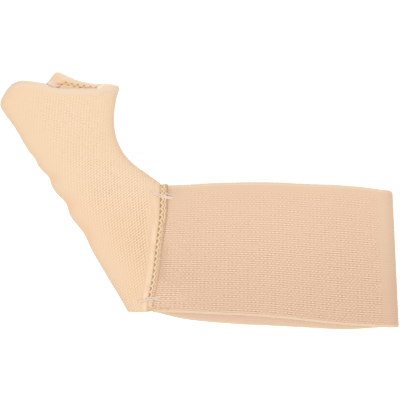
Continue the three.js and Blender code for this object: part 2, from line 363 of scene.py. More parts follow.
# Painted shade along the line where the pressed ridge falls away.
groove_shade = (seam_side - CREASE_DISTANCE).hump(0.6, 1.1, 1.1, 1.6)
cloth = knit.mix(groove_shade * broken * 0.3, cloth, dye(230, 198, 163))
# Painted shade in the gathers of the left fold: the cloth is painted a warmer orange where the notches
# crease it.
cloth = knit.mix(knit.mark("gather_shade") * 0.35, cloth, dye(252, 206, 163))
print("crease_highlight", CREASE_DISTANCE, "mm from the seam")

# %% Inside of the sleeve
KNIT_DEPTH = 0.00016

# Inside of the sleeve: a warmer stitched line under the hem, a paler band by the rim and an orange blush
# on the flap, all on a lining painted paler to lift the shade inside the mouth.
lining_with_painted_light = knit.mix(knit.mark("hem_line"), dye(250, 226, 202), dye(252, 214, 166))
lining_with_painted_light = knit.mix(rim_distance.fade(0.4, 1.8) * 0.5, lining_with_painted_light, dye(240, 226, 213))
lining_with_painted_light = knit.mix(knit.mark("blush") * 0.7, lining_with_painted_light, dye(255, 207, 148))
cloth = knit.mix(knit.mark("inside"), cloth, lining_with_painted_light)
# Painted light: the back panel just beyond the front rim is painted brighter than white, to cancel the
# shade the front rim throws on it.
cloth = knit.mix(knit.mark("painted_light_under_rim"), cloth, dye(290, 260, 226))
knit.colour(cloth)
knit.relief(loops, KNIT_DEPTH)
print("knit", len(knit.tree.nodes), "nodes")

# %% [markdown]
# # Elastic of the band
# The band is knitted elastic with rows of small loops, every other row moved by half a loop.
# A texture of bricks could draw them, but waves on the band's own map stay in step with its mesh.
# The loops are raised in the mesh later, so the finish only darkens the gaps between them.
# No two loops take the light alike, so noise makes some of them stronger and some fainter.
# At the fold, along the upper edge and in the sewn corner the loops are pulled flat.

# %% Loops of the elastic
LOOP_PITCH = 1.29
BAND_WIDTH = 44.0
ROWS_ACROSS = 60
ROW_PITCH = BAND_WIDTH / ROWS_ACROSS
ELASTIC_CONTRAST = 0.4
MIDDLE_RISE = (14.0, 31.0)
CORNER_RISE = (31.0, 39.0)
CORNER_END = (6.0, 13.0)

elastic = Finish("peach_elastic", Roughness=0.88, Sheen_Weight=0.1, **CLOTH_SURFACE)
along, across = elastic.cloth_place()
rows = (across * (1 / ROW_PITCH)).wave()
bricks = (along * (1 / LOOP_PITCH)).wave() * (across * (0.5 / ROW_PITCH)).wave()
columns = (along * (1 / LOOP_PITCH)).wave()
sewn_corner = across.ramp(*CORNER_RISE) * along.fade(*CORNER_END)
flat = elastic.mark("flat").math("MAXIMUM", sewn_corner * 0.9)
flat = flat * (elastic.noise(110.0, 1.0).ramp(0.35, 0.65) * 0.4 + 0.6)
flicker = elastic.speckle(420.0)
sparkle = elastic.speckle(600.0)
grain = elastic.speckle(1700.0)
loops = rows * (flicker * 1.6 + 0.32) + bricks * (sparkle + 0.2)
loops = loops + columns * (flicker * 0.4 + 0.06) + grain * 0.6
clear = 1.05 - across.ramp(*MIDDLE_RISE) * 0.2 - across.ramp(*CORNER_RISE) * 0.22
stitches = loops * clear * (1 - flat * 0.7) * ELASTIC_CONTRAST + 0.5 - flat * 0.03
print("elastic", ROWS_ACROSS, "rows, a loop every", LOOP_PITCH, "mm")

# %% Elastic colours
ELASTIC_DEPTH = 0.00012
DULLER_BEYOND = (35.0, 70.0)
SHADOW_HEIGHTS = (9.0, 13.0, 20.0, 28.0)

# Random tone, plus painted light that makes the band lighter towards its upper edge and in its lower
# corner by the seam. Beyond 35 mm along, the band is made duller.
lit_corner = across.fade(3.0, 13.0) * along.fade(4.0, 16.0)
tone_and_painted_light = elastic.noise(22.0).ramp(0.35, 0.65) * 0.2 + across.ramp(-4.0, 48.0) * 0.8 + lit_corner * 0.4
tone_and_painted_light = tone_and_painted_light - along.ramp(*DULLER_BEYOND) * 0.2
face = elastic.mix(tone_and_painted_light, dye(266, 229, 200), dye(280, 245, 215))
gap = elastic.mix(tone_and_painted_light, dye(171, 132, 102), dye(185, 147, 112))
cloth = elastic.mix(stitches, gap, face)
cloth = elastic.mix(flat * 0.5, cloth, elastic.mix(tone_and_painted_light, dye(224, 195, 167), dye(240, 210, 180)))
# Painted shadow: a soft tan shade on the band just beside the seam, part way up the band.
painted_shadow_by_seam = along.fade(0.8, 3.4) * across.hump(*SHADOW_HEIGHTS)
cloth = elastic.mix(painted_shadow_by_seam * 0.35, cloth, dye(204, 168, 136))
# Painted light: the inner face of the band is painted paler, to lift the shade between the two layers
# where it shows below the front.
inner_face_painted_light = elastic.mix(stitches, dye(229, 193, 165), dye(251, 219, 193))
cloth = elastic.mix(elastic.mark("inside"), cloth, inner_face_painted_light)
selvage = elastic.mark("edge_distance").ramp(0.1, 0.5)
elastic.colour(elastic.mix(selvage, dye(242, 212, 182), cloth))
elastic.relief(stitches, ELASTIC_DEPTH)
print("elastic", len(elastic.tree.nodes), "nodes")

# %% [markdown]
# # Sewing thread
# Sewing thread is twisted from fine strands, so slanting stripes run round it.
# The strands could be modelled, but at this size one wave over the map gives the same twist.
# The map of a thread runs round it and along it, so the stripes follow every bend.
# The raw edges inside the seam are a fuzzy tan with painted brown shade in the hollow by the holes and
# along the band, and each needle hole is a small brown dash of painted shade.

# %% Thread finishes
THREAD_STRANDS = 3.0
TWIST_TURNS = 0.9
TWIST_DEPTH = 0.00006


def thread_finish(name, light, dark):
    """Twisted sewing thread: the map runs round the thread and along it."""
    finish = Finish(name, Roughness=0.7, Specular_IOR_Level=0.3, Sheen_Weight=0.1)
    around, along = finish.cloth_place()
    twist = (around * (THREAD_STRANDS / MAP_MM) + along * TWIST_TURNS).wave() * 0.5 + 0.5
    finish.colour(finish.mix(twist.ramp(0.0, 0.7), dark, light))
    finish.relief(twist, TWIST_DEPTH)
    return finish


cream_thread = thread_finish("cream_thread", dye(255, 229, 192), dye(236, 200, 155))
pale_thread = thread_finish("pale_thread", dye(256, 233, 215), dye(234, 207, 190))
edge_thread = thread_finish("edge_thread", dye(252, 226, 194), dye(234, 202, 168))
tan_thread = thread_finish("tan_thread", dye(234, 194, 156), dye(214, 170, 130))
# The two hole finishes are painted shade: brown dashes put where a needle hole shows only shade.
hem_hole_shade = thread_finish("hem_hole_shade", dye(218, 156, 98), dye(200, 138, 82))
needle_hole_shade = thread_finish("needle_hole_shade", dye(219, 175, 130), dye(196, 150, 107))
threads = (cream_thread, pale_thread, edge_thread, tan_thread, hem_hole_shade, needle_hole_shade)
print("threads", [thread.material.name for thread in threads])

# %% Raw edges of the seam
RIGHT_EDGE = (1.75, 2.05, 2.2, 2.45)
UPPER_PART = (3.5, 6.5, 9.0, 17.0)
FOOT_PART = (37.0, 39.5)

seam_shade = Finish("seam_shade", Roughness=0.95, Specular_IOR_Level=0.1)
fuzz = seam_shade.noise(1500.0, 3.0).ramp(0.35, 0.65)
aside = seam_shade.mark("seam_across")
# Painted shade: brown in the hollow on the left of the bead, under the holes, and a painted brown shadow
# along the band's edge near the top of the seam.
hollow_painted_shade = aside.fade(0.35, 0.9)
down = seam_shade.mark("seam_down")
right_edge_shadow = aside.hump(*RIGHT_EDGE) * down.hump(*UPPER_PART)
tan = seam_shade.mix(fuzz, dye(228, 191, 160), dye(240, 206, 176))
brown = seam_shade.mix(fuzz, dye(206, 164, 118), dye(226, 188, 144))
raw_edge_with_shade = seam_shade.mix(hollow_painted_shade.math("MAXIMUM", right_edge_shadow * 0.8), tan, brown)
foot_part = down.ramp(*FOOT_PART)
seam_shade.colour(seam_shade.mix(foot_part * 0.9, raw_edge_with_shade, dye(244, 212, 180)))
print("raw edges", len(seam_shade.tree.nodes), "nodes")

# %% [markdown]
# # One way to build cloth
# A cloth wall is a closed skin: outside, rounded edge, inside, rounded edge.
# A Solidify modifier could thicken a sheet, but its edges would stay square and its wall even.
# Each ring of points runs once round that section, and the rings are joined in order.
# A tube's rings close on the first one again, and a strip gets a cap at each end.

# %% Skin from rings


def skin(name, rings, maps, finish, marks, caps=None):
    """A closed mesh through rings of points in mm; without caps the last ring joins the first."""
    rings = np.asarray(rings, float)
    ring_count, count = rings.shape[:2]
    here = np.arange(ring_count - 1 if caps else ring_count)[:, None] * count
    after = (here + count) % (ring_count * count)
    place = np.arange(count)
    beside = (place + 1) % count
    quads = np.stack([here + place, here + beside, after + beside, after + place], -1).reshape(-1, 4)
    faces = quads.tolist()
    for cap in caps or []:
        faces.append(cap[::-1])
        faces.append([(ring_count - 1) * count + index for index in cap])
    points = placed(rings.reshape(-1, 3))
    first, second, third, fourth = (points[quads[:, k]] for k in range(4))
    if np.einsum("ij,ij->", first, np.cross(second, third) + np.cross(third, fourth)) < 0:
        faces = [face[::-1] for face in faces]
    mesh = bpy.data.meshes.new(name)
    mesh.from_pydata(points.tolist(), [], faces)
    corners = np.empty(len(mesh.loops), dtype=int)
    mesh.loops.foreach_get("vertex_index", corners)
    uv = mesh.uv_layers.new(name="weave")
    uv.data.foreach_set("uv", (np.asarray(maps, float).reshape(-1, 2)[corners] / MAP_MM).ravel())
    for label, values in marks.items():
        layer = mesh.attributes.new(label, "FLOAT", "POINT")
        layer.data.foreach_set("value", np.broadcast_to(values, rings.shape[:2]).astype(float).ravel())
    return finished(name, mesh, [finish])


def finished(name, mesh, finishes):
    """A smooth piece from a mesh, riding on the brace."""
    mesh.polygons.foreach_set("use_smooth", np.ones(len(mesh.polygons), dtype=bool))
    for finish in finishes:
        mesh.materials.append(finish.material)
    mesh.validate()
    piece = bpy.data.objects.new(name, mesh)
    bpy.context.collection.objects.link(piece)
    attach(piece, "root")
    triangles = sum(len(face.vertices) - 2 for face in mesh.polygons)
    print(name, len(mesh.vertices), "points", triangles, "triangles")
    return piece


# %% Rounded edges and smooth tables


def unit(vectors):
    return vectors / np.linalg.norm(vectors, axis=-1, keepdims=True)


def run_along(points):
    """Distance along a path at each of its points."""
    return np.concatenate([[0], np.cumsum(np.linalg.norm(np.diff(points, axis=0), axis=1))])


def sideways(distance):
    """Plan steps to the right."""
    return np.stack([distance, 0 * distance], -1)


def rounded_end(first, second, outwards, bulge=1.0):
    """Three points of a round edge from one side of a wall to the other."""
    middle = (first + second) / 2
    half = (first - second) / 2
    reach = outwards * np.linalg.norm(half, axis=-1, keepdims=True) * bulge
    turns = np.radians([45, 90, 135])
    return np.stack([middle + half * np.cos(a) + reach * np.sin(a) for a in turns], 1)


def smooth_rows(table, place):
    """Rows at places from 0 to 1 along a table, on smooth curves through its rows."""
    table = np.asarray(table, float)
    rows = np.vstack([2 * table[0] - table[1], table, 2 * table[-1] - table[-2]])
    last = len(table) - 1
    spot = np.asarray(place, float) * last
    start = np.minimum(spot.astype(int), last - 1)
    f = (spot - start)[..., None]
    before, here, after, beyond = (rows[start + k] for k in range(4))
    bend = 2 * before - 5 * here + 4 * after - beyond
    twist = 3 * here - before - 3 * after + beyond
    return here + 0.5 * ((after - before) * f + bend * f**2 + twist * f**3)


def crown(share, roundness):
    """A rounded profile from 0 at both ends to 1 in the middle."""
    return (1 - np.abs(2 * share - 1) ** roundness) ** (1 / roundness)


def ease(value):
    """A smooth step from 0 to 1."""
    value = np.clip(value, 0, 1)
    return value**2 * (3 - 2 * value)


def hump(value, start, full, end, gone):
    """Rises from 0 at the start to full, and falls from the end until it is gone."""
    return ease((value - start) / (full - start)) * (1 - ease((value - end) / (gone - end)))


# %% [markdown]
# # Form of the thumb sleeve
# The sleeve is a flat tube: it folds along its straight left side and along the curved web on the right.
# A cut tube could be dropped and simulated, but its folds would not come to lie where these do.
# So a table of sections gives both folds and the height, from beyond the mouth to the seam.
# Gathers notch the left fold, and the two rims of the mouth and the wrist edge trim the tube.

# %% Sleeve sections and gathers
HEM_WALL = 1.9
KNIT_WALL = 1.2
FOLD_HEIGHT = 3.2
FRONT_CROWN = 3.6
BACK_CROWN = 6.0
SLEEVE_SECTIONS = [
    # left x, left y, right x, right y, height, wall
    (-60.6, 47.0, -26.4, 45.0, 9.8, HEM_WALL),
    (-60.4, 42.6, -26.5, 40.5, 9.8, HEM_WALL),
    (-61.7, 40.0, -27.2, 37.0, 9.7, HEM_WALL),
    (-64.4, 37.5, -28.0, 34.6, 9.6, KNIT_WALL),
    (-66.8, 33.0, -28.5, 32.0, 9.5, KNIT_WALL),
    (-65.7, 29.7, -28.8, 29.4, 9.4, KNIT_WALL),
    (-61.9, 24.4, -28.8, 25.4, 9.4, KNIT_WALL),
    (-57.7, 17.2, -28.1, 21.2, 9.4, KNIT_WALL),
    (-52.7, 9.5, -26.5, 17.4, 9.4, KNIT_WALL),
    (-47.7, 1.4, -24.1, 14.1, 9.4, KNIT_WALL),
    (-42.7, -7.0, -21.2, 11.5, 9.3, KNIT_WALL),
    (-36.8, -15.7, -18.5, 9.6, 9.2, KNIT_WALL),
    (-31.1, -25.2, -16.1, 7.9, 9.1, KNIT_WALL),
    (-24.45, -36.2, -14.4, 6.8, 9.0, KNIT_WALL),
    (*SEAM_END, *(SEAM_TOP - (0, 0.3)), SEAM_HEIGHT, KNIT_WALL),
]
GATHERS = [
    # y on the left fold, depth, reach along the fold
    (14.2, 0.5, 1.7),
    (7.8, 1.1, 2.2),
    (-0.9, 1.5, 3.3),
    (-10.2, 1.25, 4.2),
]
GATHER_SINK = 0.55
GATHER_START = 0.03
GATHER_SPREAD = 0.22


def gather_depth(y):
    """How far the gathers draw in the left fold at heights y."""
    return sum(depth * np.exp(-(((y - at) / reach) ** 2)) for at, depth, reach in GATHERS)


print("sleeve", len(SLEEVE_SECTIONS), "sections", len(GATHERS), "gathers")

# %% Rims and edges
FRONT_RIM = [
    # x, y from left to right
    (-80, 38.6), (-62.5, 39.3), (-61.5, 39.75), (-60.5, 39.9), (-58.5, 39.8),
    (-52.2, 38.95), (-50.9, 38.3), (-49.6, 37.8), (-46.5, 37.5), (-40.0, 37.35),
    (-33.7, 37.2), (-32.7, 38.2), (-31.8, 38.45), (-30.4, 38.45), (-28.0, 38.35), (-20, 37.4),
]
BACK_RIM = [
    # x, y from left to right
    (-80, 38.6), (-62.5, 39.25), (-61.5, 39.7), (-60.5, 39.85), (-58.5, 39.7),
    (-53.0, 38.2), (-51.8, 38.2), (-50.95, 38.8), (-50.5, 40.1), (-49.95, 41.2),
    (-49.2, 42.3), (-48.4, 43.05), (-47.4, 43.05), (-44.6, 41.75), (-42.2, 40.65),
    (-39.5, 39.8), (-35.2, 39.0), (-31.0, 38.65), (-28.0, 38.4), (-20, 37.4),
]
HEM_LINE = [
    # x, y of the stitches along the back rim, from left to right
    (-70, 36.6), (-52.0, 37.2), (-48.4, 37.4), (-47.3, 38.3), (-46.5, 39.5), (-45.0, 39.4),
    (-42.8, 38.95), (-40.2, 38.45), (-35.2, 37.8), (-30.0, 37.4), (-26.0, 37.0),
]
WRIST_EDGE = [(-30, -37.2), (-10, -36.6)]


def line_height(line, x):
    """Height y of a plan line at places x."""
    xs, ys = np.array(line, float).T
    return np.interp(x, xs, ys)


print("rims", len(FRONT_RIM), "points in front", len(BACK_RIM), "behind")

# %% Sewn line
SEAM_BOW = np.array([-0.35, 0.2, 0.6, 0.5, 0.42, 0.42, 0.15, -0.3, -0.35])[:, None]
SEAM_BOW_LENGTH = 44.0
SEAM_PULL = 0.85


def seam_bow(down):
    """How far the sewn line strays to the right of the straight seam line."""
    return smooth_rows(SEAM_BOW, np.clip(np.asarray(down, float) / SEAM_BOW_LENGTH, 0, 1))[..., 0]


def sewn_plan(down):
    """Plan points of the sewn line at distances down from its top."""
    return seam_plan(down) + sideways(seam_bow(down))


def seam_distance(points):
    """How far points lie to the left of the sewn line."""
    share = (SEAM_TOP[1] - points[..., 1]) / (SEAM_TOP[1] - SEAM_END[1])
    straight = SEAM_TOP[0] + (SEAM_END[0] - SEAM_TOP[0]) * np.clip(share, 0, 1)
    return straight + seam_bow(share * SEAM_LENGTH) - points[..., 0]


print("seam", round(SEAM_LENGTH, 1), "mm long, strays by up to", SEAM_BOW.max(), "mm")

# %% Points of the sleeve


def sleeve_points(place, share, front, inside=False):
    """Points of the sleeve: place along its sections, share from the left to the right fold."""
    place, share = np.broadcast_arrays(np.asarray(place, float), np.asarray(share, float))
    columns = np.moveaxis(smooth_rows(SLEEVE_SECTIONS, place), -1, 0)
    left_x, left_y, right_x, right_y, height, wall = columns
    inset = wall if inside else 0 * wall
    notch = gather_depth(left_y)
    left = np.stack([left_x + notch, left_y], -1)
    right = np.stack([right_x, right_y], -1)
    step = unit(right - left) * inset[..., None]
    plan = left + step + (right - left - 2 * step) * share[..., None]
    plan[..., 0] += seam_bow((1 - share) * SEAM_LENGTH) * ease((place - SEAM_PULL) / (1 - SEAM_PULL))
    if front:
        sink = GATHER_SINK * notch * hump(share, 0, GATHER_START, 0, GATHER_SPREAD)
        z = FOLD_HEIGHT + (height - inset - FOLD_HEIGHT) * crown(share, FRONT_CROWN) - sink
    else:
        z = inset + (FOLD_HEIGHT - inset) * (1 - crown(share, BACK_CROWN))
    return np.concatenate([plan, z[..., None]], -1)


# %% [markdown]
# # Sewing up the sleeve
# Columns run down the sleeve from the mouth to the wrist edge or the seam, whichever comes first.
# Where a column meets the rim or the edge is found by stepping along it, so no cutting tool is needed.
# The map unrolls the rounded folds, so that the wales keep their width all round.

# %% Where columns start and end
HEM_ROLL = 0.75
EDGE_ROLL = 0.45
NEAR_MOUTH = np.linspace(0, 0.45, 600)
NEAR_FOOT = np.linspace(0.5, 1, 600)
UNROLL_STEPS = 200
WALE_LEAN = 0.0707
WALE_CURVE = 0.00245


def first_below(places, gaps):
    """Place along each column where a gap first falls below zero, or the last place."""
    below = gaps < 0
    row = np.where(below.any(0), below.argmax(0), len(places) - 1)
    before = np.maximum(row - 1, 0)
    column = np.arange(gaps.shape[1])
    high, low = gaps[before, column], gaps[row, column]
    share = np.where(below.any(0) & (high > low), high / np.maximum(high - low, 1e-9), 1.0)
    return places[before] + (places[row] - places[before]) * np.clip(share, 0, 1)


def rim_place(share, front, depth):
    """Place along columns at a depth below the rim of the mouth."""
    scan = sleeve_points(NEAR_MOUTH[:, None], share, front)
    rim = line_height(FRONT_RIM if front else BACK_RIM, scan[..., 0])
    return first_below(NEAR_MOUTH, scan[..., 1] - rim + depth)


def foot_place(share, front):
    """Place along columns where they meet the wrist edge or the seam."""
    scan = sleeve_points(NEAR_FOOT[:, None], share, front)
    return first_below(NEAR_FOOT, scan[..., 1] - line_height(WRIST_EDGE, scan[..., 0]) - EDGE_ROLL)


def knit_map(place, share, front):
    """Plan places of a panel with its rounded sides unrolled, and its wales set upright."""
    even = np.linspace(0, 1, UNROLL_STEPS)
    points = sleeve_points(even[:, None], share, front)
    run = np.cumsum(np.linalg.norm(np.diff(points, axis=1, prepend=points[:, :1]), axis=-1), 1)
    middle = np.abs(share - 0.5).argmin()
    chord = unit(points[:, -1, :2] - points[:, 0, :2])
    plan = points[:, middle, None, :2] + chord[:, None] * (run - run[:, middle, None])[..., None]
    x, y = (np.stack([np.interp(p, even, c) for p, c in zip(place.T, plan[..., k].T)], 1) for k in (0, 1))
    return np.stack([x + WALE_LEAN * y - WALE_CURVE * y**2, y], -1)


def rim_outwards(outer, inner):
    """Directions out of the mouth, square to its edge and to the wall."""
    out = unit(np.cross(np.gradient(outer[0], axis=0), inner[0] - outer[0]))
    return out * np.sign(np.sum(out * (outer[0] - outer[2])))


# %% Marks for the knit finish
HEM_LINE_HALF = 0.8
HEM_LINE_FADE = 0.6
BLUSH_PLACE = (-48.0, 41.2)
BLUSH_REACH = 1.4
# Painted light on the back panel below the front rim, strongest towards the left end of the flap.
PAINTED_LIGHT_DEPTHS = (-1.4, 0.0, 2.0, 4.0)
PAINTED_LIGHT_LEFT = -47.5
PAINTED_LIGHT_SPREAD = 3.0
PAINTED_LIGHT_LEAST = 0.7
# Strength of the painted highlight on the front and back rims.
FRONT_RIM_HIGHLIGHT = 0.5
BACK_RIM_HIGHLIGHT = 0.85


def sleeve_marks(rings, share, inside, front):
    """Numbers at the points of one panel that tell the finish where the cloth differs and where light and
    shade are painted.
    """
    x, y = rings[..., 0], rings[..., 1]
    near_left = 1 - ease(share / GATHER_SPREAD)
    # Painted light under the front rim, on the back panel only.
    painted_light_under_rim = hump(line_height(FRONT_RIM, x) - y, *PAINTED_LIGHT_DEPTHS)
    painted_light_under_rim = painted_light_under_rim * (PAINTED_LIGHT_LEAST + (1 - PAINTED_LIGHT_LEAST) * ease((PAINTED_LIGHT_LEFT - x) / PAINTED_LIGHT_SPREAD))
    from_hem_line = np.abs(line_height(HEM_LINE, x) - y)
    return {
        "rim_distance": line_height(FRONT_RIM if front else BACK_RIM, x) - y,
        "seam_distance": seam_distance(rings),
        "share": np.broadcast_to(share, x.shape),
        "inside": np.broadcast_to(inside, x.shape),
        # Painted shade in the gathers near the left fold.
        "gather_shade": gather_depth(y) * near_left,
        "hem_line": 1 - ease((from_hem_line - HEM_LINE_HALF) / HEM_LINE_FADE),
        "blush": np.exp(-(((rings[..., :2] - BLUSH_PLACE) / BLUSH_REACH) ** 2).sum(-1)),
        # Painted light under the front rim, on the back panel only.
        "painted_light_under_rim": 0 * painted_light_under_rim if front else painted_light_under_rim,
        # Strength of the painted highlight on the rim of this panel.
        "rim_highlight_strength": np.full(x.shape, FRONT_RIM_HIGHLIGHT if front else BACK_RIM_HIGHLIGHT),
    }


# %% Sleeve cloth
PANEL_COLUMNS = 140
OUTER_ROWS = 170
INNER_ROWS = 84
HEM_PUFF = 0.22
HEM_PUFF_DEPTHS = (0.0, 0.8, 1.4, 2.8)
PRESSED_PUFF = 0.12
PRESSED_PLACES = (0.0, 0.6, 2.0, 2.9)
SEAM_TUCK = 0.35


def sleeve_panel(front):
    """Rings of one panel, a ring for each column, with its map and marks."""
    share = (1 - np.cos(np.pi * (np.arange(PANEL_COLUMNS) + 0.5) / PANEL_COLUMNS)) / 2
    start = rim_place(share, front, HEM_ROLL)
    end = foot_place(share, front)
    walls = []
    for inside, count in ((False, OUTER_ROWS), (True, INNER_ROWS)):
        place = start + (end - start) * np.linspace(0, 1, count + 1)[:, None]
        points = sleeve_points(place, share, front, inside)
        walls.append((points, knit_map(place, share, front)))
    (outer, outer_map), (inner, inner_map) = walls
    if front:
        depth = line_height(FRONT_RIM, outer[..., 0]) - outer[..., 1]
        outer[..., 2] += HEM_PUFF * hump(depth, *HEM_PUFF_DEPTHS)
        outer[..., 2] += PRESSED_PUFF * hump(seam_distance(outer), *PRESSED_PLACES)
    mouth = rounded_end(inner[0], outer[0], rim_outwards(outer, inner))
    tuck = np.where(end < 1, 1.0, SEAM_TUCK)[:, None]
    foot = rounded_end(outer[-1], inner[-1], unit(outer[-1] - outer[-3]), tuck)
    rings = np.concatenate([outer.swapaxes(0, 1), foot, inner[::-1].swapaxes(0, 1), mouth], 1)
    foot_map = np.repeat(outer_map[-1:], 3, 0)
    mouth_map = np.repeat(outer_map[:1], 3, 0)
    maps = np.concatenate([outer_map, foot_map, inner_map[::-1], mouth_map]).swapaxes(0, 1)
    inside = np.repeat([0.0, 1.0, 0.0], [OUTER_ROWS + 4, INNER_ROWS + 1, 3])
    return rings, maps, sleeve_marks(rings, share[:, None], inside, front)


front_rings, front_map, front_marks = sleeve_panel(True)
back_rings, back_map, back_marks = sleeve_panel(False)
sleeve = skin(
    "sleeve_cloth",
    np.concatenate([front_rings, back_rings[::-1]]),
    np.concatenate([front_map, back_map[::-1]]),
    knit,
    {label: np.concatenate([front_marks[label], back_marks[label][::-1]]) for label in front_marks},
)
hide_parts("thumb_sleeve")

# %% [markdown]
# # The elastic hand loop
# The band leaves the seam, runs along the front, folds over and comes back underneath.
# It is swept from a table of its two edges, at even steps along its length.
# Copies of one loop could be laid side by side, but thousands of them would not close into one cloth.
# So the loops are raised in the mesh itself: two lines of points a row and four points a loop.

# %% Band table
ELASTIC_WALL = 1.5
SEAM_WIDTH_TOP = 2.25
SEAM_WIDTH_FOOT = 1.95
LOOP_FOLD_HEIGHT = 8.6
CORNER_ROUNDING = 0.6
PATH_STEPS = 400
FOLD_STEPS = 60
WRIST_Y = -36.9
WRIST_FOOT = (SEAM_TOP[1] - WRIST_Y) * SEAM_LENGTH / (SEAM_TOP[1] - SEAM_END[1])
FRONT_BAND = [
    # top x, top y, bottom x, bottom y, height, drop of the top edge
    (-5.0, 5.7, -6.4, -37.0, 9.3, 1.4),
    (2.8, 6.2, 2.0, -37.4, 9.5, 0.5),
    (13.5, 6.5, 13.2, -37.9, 9.6, 0.2),
    (24.2, 6.5, 24.4, -38.6, 9.6, 0.1),
    (34.8, 6.0, 35.6, -39.8, 9.5, 0),
    (45.5, 5.6, 46.6, -41.0, 9.2, 0),
    (54.0, 4.9, 55.7, -41.6, 8.8, 0),
    (59.8, 4.1, 61.9, -41.9, LOOP_FOLD_HEIGHT, 0),
]
BACK_BAND = [
    # top x, top y, bottom x, bottom y
    (59.8, 3.3, 61.9, -42.1),
    (48.0, 2.4, 48.8, -42.9),
    (37.0, 2.7, 37.4, -42.4),
    (24.2, 3.2, 24.2, -41.7),
    (13.5, 3.6, 13.0, -41.2),
    (2.8, 4.1, 1.8, -40.3),
    (-4.8, 4.6, -6.6, -39.2),
]
band_top = seam_plan(2 * WEB_INSET) + (SEAM_WIDTH_TOP, 0)
band_foot = seam_plan(WRIST_FOOT) + (SEAM_WIDTH_FOOT, 0)
front_rows = [(*band_top, *band_foot, SEAM_HEIGHT, SEAM_HEIGHT - FOLD_HEIGHT), *FRONT_BAND]
back_rows = [(*row, 0, 0) for row in (*BACK_BAND, (*band_top, *band_foot))]
print("band", len(front_rows), "rows in front", len(back_rows), "behind")


def band_path():
    """Fine rows along the whole band, each with the turn of its wall: 0 on the front, pi on the back."""
    fine = np.linspace(0, 1, PATH_STEPS)
    front = smooth_rows(front_rows, fine)
    back = smooth_rows(back_rows, fine)
    turn = np.pi * np.linspace(0, 1, FOLD_STEPS + 2)[1:-1]
    radius = LOOP_FOLD_HEIGHT / 2
    fold = front[-1] + (back[0] - front[-1]) * (turn / np.pi)[:, None]
    fold[:, (0, 2)] += (radius * np.sin(turn))[:, None]
    fold[:, 1] -= CORNER_ROUNDING * np.sin(turn) ** 6
    fold[:, 4] = radius * (1 + np.cos(turn))
    turns = np.concatenate([np.zeros(PATH_STEPS), turn, np.full(PATH_STEPS, np.pi)])
    return np.column_stack([np.vstack([front, fold, back]), turns])


# %% Even stations along the band
POINTS_PER_LOOP = 4
FOOT_INSET = 0.5
TOP_INSET = 0.8
SEAM_REACH = 12.0
HELD_LIMIT = 0.985

path = band_path()
middle = np.column_stack([(path[:, 0] + path[:, 2]) / 2, (path[:, 1] + path[:, 3]) / 2, path[:, 4]])
run = run_along(middle)
band_length = run[-1]
stations = np.arange(0, band_length, LOOP_PITCH / POINTS_PER_LOOP)
path = np.column_stack([np.interp(stations, run, column) for column in path.T])
inwards = np.stack([-np.sin(path[:, 6]), 0 * path[:, 6], -np.cos(path[:, 6])], -1)[:, None]
print("band length", round(band_length, 1), "mm", len(stations), "stations")


def band_line(share):
    """Outside points across the band at shares from the lower to the upper edge."""
    top, foot, height, drop = path[:, :2], path[:, 2:4], path[:, 4], path[:, 5]
    upwards = unit(top - foot)
    start = foot + upwards * FOOT_INSET
    plan = start[:, None] + (top - upwards * TOP_INSET - start)[:, None] * share[None, :, None]
    near_seam = 1 - ease(np.minimum(stations, stations[-1] - stations) / SEAM_REACH)
    plan[..., 0] += near_seam[:, None] * seam_bow(WRIST_FOOT * (1 - share))
    held = 1 - crown(np.minimum(0.5 + share / 2, HELD_LIMIT), FRONT_CROWN)
    z = height[:, None] - drop[:, None] * held
    return np.concatenate([plan, z[..., None]], -1)


# %% Band cloth
LINES = 2 * ROWS_ACROSS
INNER_STEP = 4
ROW_RELIEF = 0.045
BRICK_RELIEF = 0.05
RELIEF_LOST = 0.7
RELIEF_START = 0.8
EDGE_BULGE = 0.7
FLAT_AT_FOLD = 2.4
FLAT_AT_TOP = 3.8

outer_share = np.linspace(0, 1, LINES + 1)
inner_share = outer_share[::INNER_STEP]
outer = band_line(outer_share)
inner = band_line(inner_share) + inwards * ELASTIC_WALL
row_number = np.arange(LINES + 1) / 2
brick = np.cos(2 * np.pi * stations / LOOP_PITCH)[:, None] * np.cos(np.pi * row_number)
ridge = np.cos(2 * np.pi * row_number)[None]
fold_middle = stations[np.abs(path[:, 6] - np.pi / 2).argmin()]
fold_distance = np.maximum(np.abs(stations - fold_middle) - np.pi * LOOP_FOLD_HEIGHT / 4, 0)


def pulled_flat(share):
    """How flat the loops are pulled, from 0 to 1, at the fold and along the upper edge."""
    at_fold = 1 - ease(fold_distance / FLAT_AT_FOLD)[:, None]
    at_top = 1 - ease((1 - share) * BAND_WIDTH / FLAT_AT_TOP)[None]
    return np.maximum(at_fold, at_top)


raised = (ridge * ROW_RELIEF + brick * BRICK_RELIEF) * (1 - RELIEF_LOST * pulled_flat(outer_share))
raised = raised * ease(outer_share * BAND_WIDTH / RELIEF_START) - ROW_RELIEF - BRICK_RELIEF
outer = outer - inwards * raised[..., None]
lower_way = unit(outer[:, 0] - outer[:, INNER_STEP])
upper_way = unit(outer[:, -1] - outer[:, -1 - INNER_STEP])
lower_edge = rounded_end(inner[:, 0], outer[:, 0], lower_way, EDGE_BULGE)
upper_edge = rounded_end(outer[:, -1], inner[:, -1], upper_way, EDGE_BULGE)
rings = np.concatenate([outer, upper_edge, inner[:, ::-1], lower_edge], 1)
ring_share = np.concatenate([outer_share, np.ones(3), inner_share[::-1], np.zeros(3)])
maps = np.stack(np.broadcast_arrays(stations[:, None], ring_share[None] * BAND_WIDTH), -1)
inner_last = LINES + 4 + len(inner_share) - 1
caps = [list(range(LINES, LINES + 5)), [*range(inner_last, inner_last + 4), 0]]
for k in range(len(inner_share) - 1):
    low = k * INNER_STEP
    caps.append([*range(low, low + INNER_STEP + 1), inner_last - k - 1, inner_last - k])
